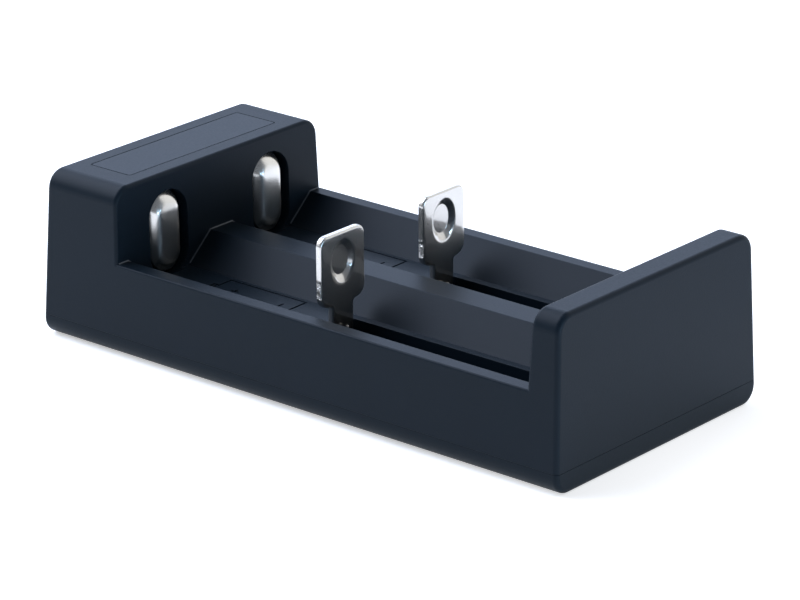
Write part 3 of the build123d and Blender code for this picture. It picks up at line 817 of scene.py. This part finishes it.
@dataclass
class FixedContact:
    """Fixed positive contact: a pressed, crowned pad on a leg that goes down through the board."""

    side: Side
    sheet: float = 0.5 * MM
    pad_width: float = 6.9 * MM
    pad_height: float = 13.4 * MM
    pad_z: float = 17.95 * MM
    pad_depth: float = 1.7 * MM
    flank_width: float = 1.15 * MM
    flank_depth: float = 1.45 * MM
    flank_round: float = 1.5 * MM
    skirt_round: float = 0.5 * MM
    bevel_tall: float = 3.2 * MM
    bevel_fall: float = 0.9 * MM
    end_share: float = 0.5
    bevel_ease: float = 1.0 * MM
    crown_wide: float = 0.05 * MM
    leg_width: float = 3.6 * MM
    leg_bend: float = 0.45 * MM
    quarter_parts: int = 24
    spacing: float = 0.3 * MM

    def __post_init__(self) -> None:
        """Takes the contact's place from its CAD node."""
        low, high = (Vector(corner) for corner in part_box(self.side.node("positive_contact")))
        self.crown_x = high.x
        self.rim_x = high.x - self.pad_depth
        self.leg_x = low.x + self.sheet / 2
        self.leg_foot = low.z
        self.middle_y = (low.y + high.y) / 2
        self.draft = Draft(f"{self.side.value}_pressed_pad")

    def ring(self, inset: float, drop: float) -> list[Vector]:
        """Gives one ring of the pad.

        Args:
            inset: how far the ring lies inside the pad's outline.
            drop: how far the ring lies behind the crowned face.

        Returns:
            The ring's points.
        """
        radius = self.pad_width / 2
        straight = self.pad_height / 2 - radius
        parts = self.quarter_parts
        spine = []
        for end, start in ((straight, 0), (-straight, math.pi)):
            spine += [(end, start + math.pi * k / parts) for k in range(parts + 1)]
            spine += [(end * (1 - 2 * k / parts), start + math.pi) for k in range(1, parts)]
        points = []
        for along, turn in spine:
            y = (radius - inset) * math.cos(turn)
            z = along + (radius - inset) * math.sin(turn)
            points.append(Vector((self.face_x(y, z, drop), self.middle_y + y, self.pad_z + z)))
        return points

    def face_x(self, y: float, z: float, drop: float) -> float:
        """Works out X of the crowned and bevelled sheet, which never lies behind the pad's rim.

        Args:
            y: place from the pad's middle, across.
            z: place from the pad's middle, up.
            drop: how far behind the crowned face.

        Returns:
            X at that place.
        """
        if drop < self.pad_depth:
            past = max(0.0, abs(z) - (self.pad_height - self.pad_width) / 2)
            drop *= 1 - (1 - self.end_share) * 2 * past / self.pad_width
        above = z - (self.pad_height / 2 - self.bevel_tall)
        eased = (above + math.hypot(above, self.bevel_ease)) / 2
        fall = self.bevel_fall * eased / self.bevel_tall + self.crown_wide * (2 * y / self.pad_width) ** 2
        return max(self.crown_x - fall - drop, self.rim_x)

    def build(self) -> Object:
        """Builds the pad, its hollow back and its leg.

        Returns:
            The piece, riding on the case.
        """
        self.add_pad()
        self.add_leg()
        piece = self.draft.piece(PRESSED_NICKEL, Slot.NICKEL)
        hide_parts(self.side.node("positive_contact"))
        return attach(piece, "case")

    def add_pad(self) -> None:
        """Adds the pad: skirt, sloped flank and plateau outside, and the hollow behind them."""
        radius = self.pad_width / 2
        corners = [
            Vector((0, self.pad_depth, 0)),
            Vector((0, self.flank_depth, 0)),
            Vector((self.flank_width, 0, 0)),
            Vector((radius, 0, 0)),
        ]
        bends = [0, self.skirt_round, self.flank_round, 0]
        line = spaced(rounded(corners, bends), self.spacing)
        outer = [self.ring(place.x, place.y) for place in line]
        inner = []
        flank_middle = self.flank_width + self.sheet / 2
        for inset in (radius, radius / 2, flank_middle, 2 * self.sheet):
            inner.append(self.ring(inset, self.sheet + max(0.0, flank_middle - inset)))
        # So deep that this ring stays in the rim's plane.
        inner.append(self.ring(self.sheet, math.inf))
        self.draft.skin(outer)
        self.draft.skin(inner + [outer[0]])

    def add_leg(self) -> None:
        """Adds the leg, bent back from the pad's foot and down."""
        level = self.pad_z - self.pad_height / 2 + self.sheet
        corners = [
            Vector((self.rim_x + self.sheet, self.middle_y, level)),
            Vector((self.leg_x, self.middle_y, level)),
            Vector((self.leg_x, self.middle_y, self.leg_foot)),
        ]
        path = rounded(corners, [0, self.leg_bend, 0])
        across = Vector((0, 1, 0))
        side = across * self.leg_width / 2
        rings = []
        for point, run in runs(path):
            out = run.cross(across) * self.sheet / 2
            rings.append([point + out + side, point + out - side, point - out - side, point - out + side])
        self.draft.skin(rings)
        self.draft.cap(rings[0], path[0])
        self.draft.cap(rings[-1], path[-1])


@dataclass
class ExtensionSpring:
    """Close-wound extension spring between the board's lug and the sliding contact."""

    side: Side
    wire: float = 0.5 * MM
    coil_radius: float = 1.25 * MM
    coil_z: float = 6.8 * MM
    terminal_x: float = -31.0 * MM
    coil_end: float = -3.24 * MM
    hook_bend: float = 0.5 * MM
    loop_turn: float = 320.0
    loop_steps: int = 28
    turn_points: int = 16
    wire_sides: int = 8

    def __post_init__(self) -> None:
        """Takes the hook's place from the CAD node, and starts the coil beside its loop."""
        low, high = (Vector(corner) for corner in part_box(self.side.node("spring")))
        self.middle_y = (low.y + high.y) / 2
        self.hook_x = high.x - self.wire / 2
        self.hook_tip = high.z
        self.coil_start = self.terminal_x + self.coil_radius + self.wire

    def wire_line(self) -> list[Vector]:
        """Winds the middle of the wire: loop, coil and upturned hook.

        Returns:
            Its points, from the loop's free end to the hook's tip.
        """
        y = self.middle_y
        top = self.coil_z + self.coil_radius
        line = []
        for k in range(self.loop_steps):
            turn = math.radians(self.loop_turn * (1 - k / self.loop_steps))
            x = self.terminal_x - self.coil_radius * math.sin(turn)
            line.append(Vector((x, y, self.coil_z + self.coil_radius * math.cos(turn))))
        run = [Vector((x, y, top)) for x in (self.terminal_x, self.coil_start)]
        line += spaced(run, self.wire)
        length = self.coil_end - self.coil_start
        steps = round(length / self.wire) * self.turn_points
        for k in range(1, steps):
            turn = 2 * math.pi * k / self.turn_points
            out, up = self.coil_radius * math.sin(turn), self.coil_radius * math.cos(turn)
            line.append(Vector((self.coil_start + length * k / steps, y + out, self.coil_z + up)))
        bends = [(self.coil_end, top), (self.hook_x, top), (self.hook_x, self.hook_tip)]
        hook = rounded([Vector((x, y, z)) for x, z in bends], [0, self.hook_bend, 0])
        return line + spaced(hook, self.wire)

    def build(self) -> Object:
        """Builds the spring in one wire.

        Returns:
            The piece, placed between the case and its slider; it rides on neither and does not stretch.
        """
        draft = Draft(f"{self.side.value}_coil_spring")
        draft.tube(self.wire_line(), self.wire / 2, self.wire_sides)
        piece = draft.piece(SPRING_WIRE, Slot.SPRING, keep_flats=False)
        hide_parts(self.side.node("spring"))
        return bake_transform(piece)


@dataclass
class Case:
    """The two mouldings, the window in the head's top and the small fillets where the tray meets the head,
    painted pale as a highlight.
    """

    rim_z: float = 15.6 * MM
    floor_z: float = 11.0 * MM
    floor_half: float = 4.2 * MM
    opening_half: float = 4.5 * MM
    divider_half: float = 2.6 * MM
    rim_inner_y: float = 21.77 * MM
    rim_outer_y: float = 23.9 * MM
    wall_x: float = -36.3 * MM
    wall_lean: float = 1.1
    line_round: float = 0.18 * MM
    arc_steps: int = 4
    spacing: float = 1 * MM

    def build(self) -> None:
        """Dresses the mouldings and adds the fillets, painted pale as a highlight."""
        CASE_ABS.give("upper_shell")
        COVER_ABS.give("bottom_cover")
        WINDOW_PC.give("indicator_window")
        low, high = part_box("far_positive_contact")
        bay_y = (low[1] + high[1]) / 2
        outer = self.slope_z(self.opening_half, self.rim_inner_y - bay_y)
        inner = self.slope_z(self.opening_half, bay_y - self.divider_half)
        far_rim = [(bay_y + self.opening_half, outer)]
        far_rim += [(y, self.rim_z) for y in (self.rim_inner_y, self.rim_outer_y)]
        near_rim = [(-y, z) for y, z in reversed(far_rim)]
        far_half = [(self.divider_half, self.rim_z), (bay_y - self.opening_half, inner)]
        divider = [(-y, z) for y, z in reversed(far_half)] + far_half
        draft = Draft("tray_corner_fillets_painted_highlight")
        for path in (near_rim, divider, far_rim):
            self.add_line(draft, [Vector((0, y, z)) for y, z in path])
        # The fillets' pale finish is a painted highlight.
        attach(draft.piece(PAINTED_HIGHLIGHT_ABS, Slot.CASE), "case")

    def slope_z(self, beside: float, slope_end: float) -> float:
        """Gives the height of a bay's sloped side, some way from the bay's middle."""
        share = (beside - self.floor_half) / (slope_end - self.floor_half)
        return self.floor_z + share * (self.rim_z - self.floor_z)

    def add_line(self, draft: Draft, path: list[Vector]) -> None:
        """Adds the small hollow fillet between the tray and the head's wall; its pale finish is a painted
        highlight.

        Args:
            draft: the lines' mesh.
            path: points of the tray's section, toward +Y.
        """
        rings = []
        for point, run in runs(spaced(path, self.spacing)):
            up = Vector((0, -run.z, run.y))
            wall = self.wall_x - (point.z - self.rim_z) * math.tan(math.radians(self.wall_lean))
            ring = []
            for k in range(self.arc_steps + 1):
                turn = math.pi / 2 * k / self.arc_steps
                out = self.line_round * (1 - math.sin(turn))
                rise = self.line_round * (1 - math.cos(turn))
                ring.append(Vector((wall + out, point.y, point.z)) + up * rise)
            rings.append(ring)
        draft.skin(rings, closed=False)


@dataclass
class InnerParts:
    """The pieces inside: the board with its parts, inlet, carriages and screws."""

    chip_lead: float = 1.05 * MM
    end_cap: float = 0.45 * MM
    capacitor_pitch: float = 4.2 * MM
    resistor_pitch: float = 2.8 * MM
    capacitor_length: float = 3.2 * MM
    resistor_length: float = 2.0 * MM

    def build(self) -> None:
        """Dresses them."""
        BOARD.give("circuit_board")
        GUIDE_ACRYLIC.give("light_guide")
        low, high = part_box("near_charge_chip")
        middle, half = (low[0] + high[0]) / 2, (high[0] - low[0]) / 2 - self.chip_lead
        # Epoxy chip package, matte black, with tinned leads past its sides.
        TippedPart(
            "black_epoxy_chip_tinned_leads", "#141415", 0.5, axis="X", middle=middle, body_half=half
        ).give("near_charge_chip", "far_charge_chip")
        pitch, half = self.capacitor_pitch, self.capacitor_length / 2 - self.end_cap
        # Fired ceramic, tan and dry, between tinned ends.
        TippedPart(
            "tan_ceramic_tinned_ends", "#a07c55", 0.55, middle=pitch / 2, pitch=pitch, body_half=half
        ).give("ceramic_capacitors")
        pitch, half = self.resistor_pitch, self.resistor_length / 2 - self.end_cap
        # Glazed black resistors between tinned ends.
        TippedPart(
            "black_glazed_resistor_tinned_ends", "#17171a", 0.3, middle=pitch / 2, pitch=pitch, body_half=half
        ).give("chip_resistors")
        low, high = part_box("near_indicator_light")
        x, y = (low[0] + high[0]) / 2, (low[1] + high[1]) / 2
        # White nylon package, even and bright, round a yellow cup.
        white = LightPackage("white_nylon_light_package", "#e4e2dc", 0.4, cup_x=x, cup_y=y)
        white.give("near_indicator_light", "far_indicator_light")
        TINNED_LUG.give("near_spring_terminal", "far_spring_terminal")
        ZINC_SCREW.give("board_screws", "cover_screws")
        DRAWN_STAINLESS.give("inlet_shell")
        INLET_INSERT.give("inlet_insert")
        CARRIAGE_ACETAL.give("near_carriage", "far_carriage")


def line_of_sight(azimuth: float, elevation: float) -> Vector:
    """Gives the direction out from the object, for degrees from -Y toward +X and above the floor."""
    turn, rise = math.radians(azimuth), math.radians(elevation)
    return Vector((math.cos(rise) * math.sin(turn), -math.cos(rise) * math.cos(turn), math.sin(rise)))


@dataclass(frozen=True)
class SoftBox:
    """A soft lamp that faces the object from an azimuth and an elevation, in degrees."""

    name: str
    power: float
    size: tuple[float, float]
    distance: float
    azimuth: float
    elevation: float
    colour: str = "#ffffff"

    def hang(self) -> None:
        """Hangs the lamp."""
        light = bpy.data.lights.new(self.name, "AREA")
        light.shape = "RECTANGLE"
        light.size, light.size_y = self.size
        light.energy = self.power
        light.color = linear(self.colour)[:3]
        place = self.distance * line_of_sight(self.azimuth, self.elevation)
        lamp = bpy.data.objects.new(self.name, light)
        lamp.location = place
        lamp.rotation_euler = (-place).to_track_quat("-Z", "Y").to_euler()
        bpy.context.scene.collection.objects.link(lamp)


CAMERA_AZIMUTH = 40.5478

# Its reflection lightens the bays' slopes that face -Y.
TOP_BOX = SoftBox(
    "top_box", power=27.5, size=(1.3, 1.3), distance=1.3, azimuth=-76, elevation=49, colour="#dbe7ff"
)
# Small and near the head: it lifts the head end of the near side a little.
KEY_BOX = SoftBox("key_box", power=0.09, size=(0.2, 0.2), distance=0.3, azimuth=-50, elevation=32)
# Broad, so that it whitens the pads' tips, the plates' top edges and the dimples' lower walls.
SIDE_CARD = SoftBox("side_card", power=9, size=(1.9, 1.7), distance=1.5, azimuth=158, elevation=30)
# Low and straight ahead of the foot wall, which it lights evenly.
FRONT_STRIP = SoftBox(
    "front_strip", power=10.8, size=(1.0, 0.22), distance=1.4, azimuth=90, elevation=3, colour="#b4dbff"
)
# Opposite the camera: it gives the flat tops their bluish sheen.
BEHIND = CAMERA_AZIMUTH + 180
BACK_BOX = SoftBox(
    "back_box", power=12.3, size=(1.8, 0.7), distance=1.6, azimuth=BEHIND, elevation=24, colour="#cfe0ff"
)


@dataclass
class Studio:
    """Pale floor, soft light and the camera."""

    distance: float = 630.547 * MM
    azimuth: float = CAMERA_AZIMUTH
    elevation: float = 20.7253
    roll: float = -0.4675
    target: tuple[float, float, float] = (2.3741 * MM, -0.6096 * MM, 12 * MM)
    lens: float = 180.673
    sensor: float = 36.0
    nearest: float = 10 * MM
    farthest: float = 100.0
    floor_half: float = 4.0
    floor_parts: int = 8
    floor_drop: float = 0.02 * MM
    sky: float = 0.22
    sky_colour: str = "#dde6f4"
    lamps: tuple[SoftBox, ...] = (TOP_BOX, KEY_BOX, SIDE_CARD, FRONT_STRIP, BACK_BOX)

    def build(self) -> None:
        """Sets out the floor, the light and the camera."""
        self.build_floor()
        self.build_surround()
        for lamp in self.lamps:
            lamp.hang()
        self.build_camera()
        bpy.context.scene.view_settings.view_transform = "Standard"

    def build_floor(self) -> None:
        """Lays a lit sheet of pale acrylic under the object."""
        sheet = bmesh.new()
        parts = self.floor_parts
        bmesh.ops.create_grid(sheet, x_segments=parts, y_segments=parts, size=self.floor_half)
        data = bpy.data.meshes.new("light_table")
        sheet.to_mesh(data)
        sheet.free()
        data.materials.append(OPAL_ACRYLIC.material())
        floor = bpy.data.objects.new("light_table", data)
        # Just under the case, so that the two flat faces share no plane.
        floor.location.z = -self.floor_drop
        bpy.context.scene.collection.objects.link(floor)

    def build_surround(self) -> None:
        """Sets a pale even surround."""
        world = bpy.data.worlds.new("pale_studio")
        world.use_nodes = True
        sky = {"Color": linear(self.sky_colour), "Strength": self.sky}
        feed(world.node_tree.nodes["Background"], sky)
        bpy.context.scene.world = world

    def build_camera(self) -> None:
        """Places the camera on its line of sight and rolls it."""
        out = line_of_sight(self.azimuth, self.elevation)
        roll = math.radians(self.roll)
        level = (-out).cross(Vector((0, 0, 1))).normalized()
        up = level.cross(-out)
        right = math.cos(roll) * level + math.sin(roll) * up
        top = math.cos(roll) * up - math.sin(roll) * level
        data = bpy.data.cameras.new("camera")
        data.sensor_width = self.sensor
        data.sensor_fit = "HORIZONTAL"
        data.lens = self.lens
        data.clip_start = self.nearest
        data.clip_end = self.farthest
        camera = bpy.data.objects.new("camera", data)
        turn = Matrix((right, top, out)).transposed().to_4x4()
        camera.matrix_world = Matrix.Translation(Vector(self.target) + self.distance * out) @ turn
        bpy.context.scene.collection.objects.link(camera)
        bpy.context.scene.camera = camera


def corners(box: Sequence[Sequence[float]]) -> list[list[float]]:
    """Turns a box's two corners to plain lists of numbers."""
    return [[float(value) for value in corner] for corner in box]


def main() -> None:
    """Builds the charger's surfaces, its contacts and springs, and the studio."""
    logging.basicConfig(level=logging.INFO, format="%(name)s: %(message)s")
    Case().build()
    InnerParts().build()
    for side in Side:
        SlidingContact(side).build()
        FixedContact(side).build()
        ExtensionSpring(side).build()
    Studio().build()


if __name__ == "__main__":
    main()
